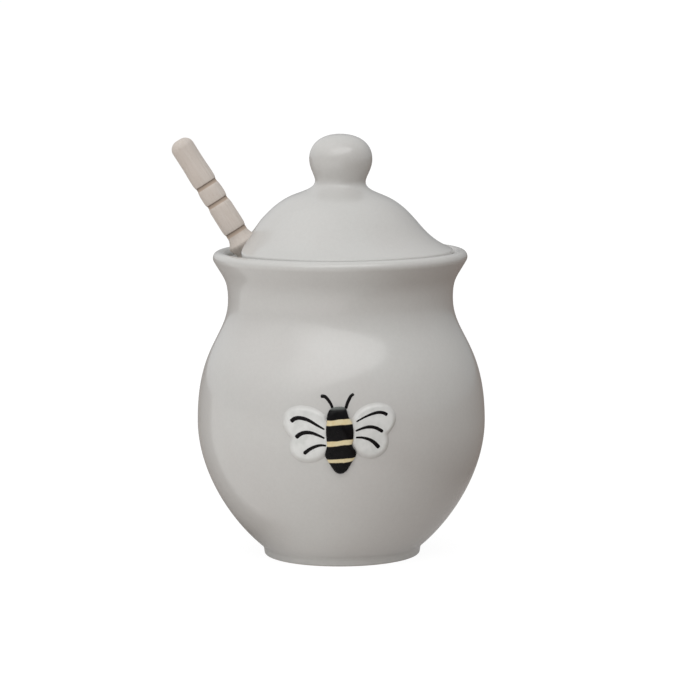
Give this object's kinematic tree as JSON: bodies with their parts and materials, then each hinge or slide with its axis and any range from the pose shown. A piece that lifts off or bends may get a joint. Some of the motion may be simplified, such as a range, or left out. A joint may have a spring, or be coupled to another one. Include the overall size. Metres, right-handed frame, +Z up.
{
  "type": "honey pot",
  "caption": "Round-bellied glazed honey pot with a raised bee, a loose knobbed lid with a notch, and a wooden honey dipper.",
  "frame": {"origin": "on the pot's axis, at the level of the foot ring's underside, where it stands on the table", "axes": "+Z up along the pot's axis; the bee on the front faces -Y; the lid's notch and the dipper are on the -X side"},
  "size_m": [0.1105, 0.1036, 0.149],
  "materials": {
    "glaze": "gloss",
    "wood": "satin"
  },
  "bodies": {
    "pot": {"pot": "glaze"},
    "lid": {"lid": "glaze"},
    "dipper": {"dipper": "wood"}
  },
  "joints": [
    {"name": "lid_lift", "type": "slide", "parent": "pot", "child": "lid", "axis": [0, 0, 1], "range_m": [0, 0.06]},
    {"name": "dipper_draw", "type": "slide", "parent": "pot", "child": "dipper", "axis": [-0.5285, 0.0185, 0.8487], "range_m": [0, 0.06]}
  ]
}
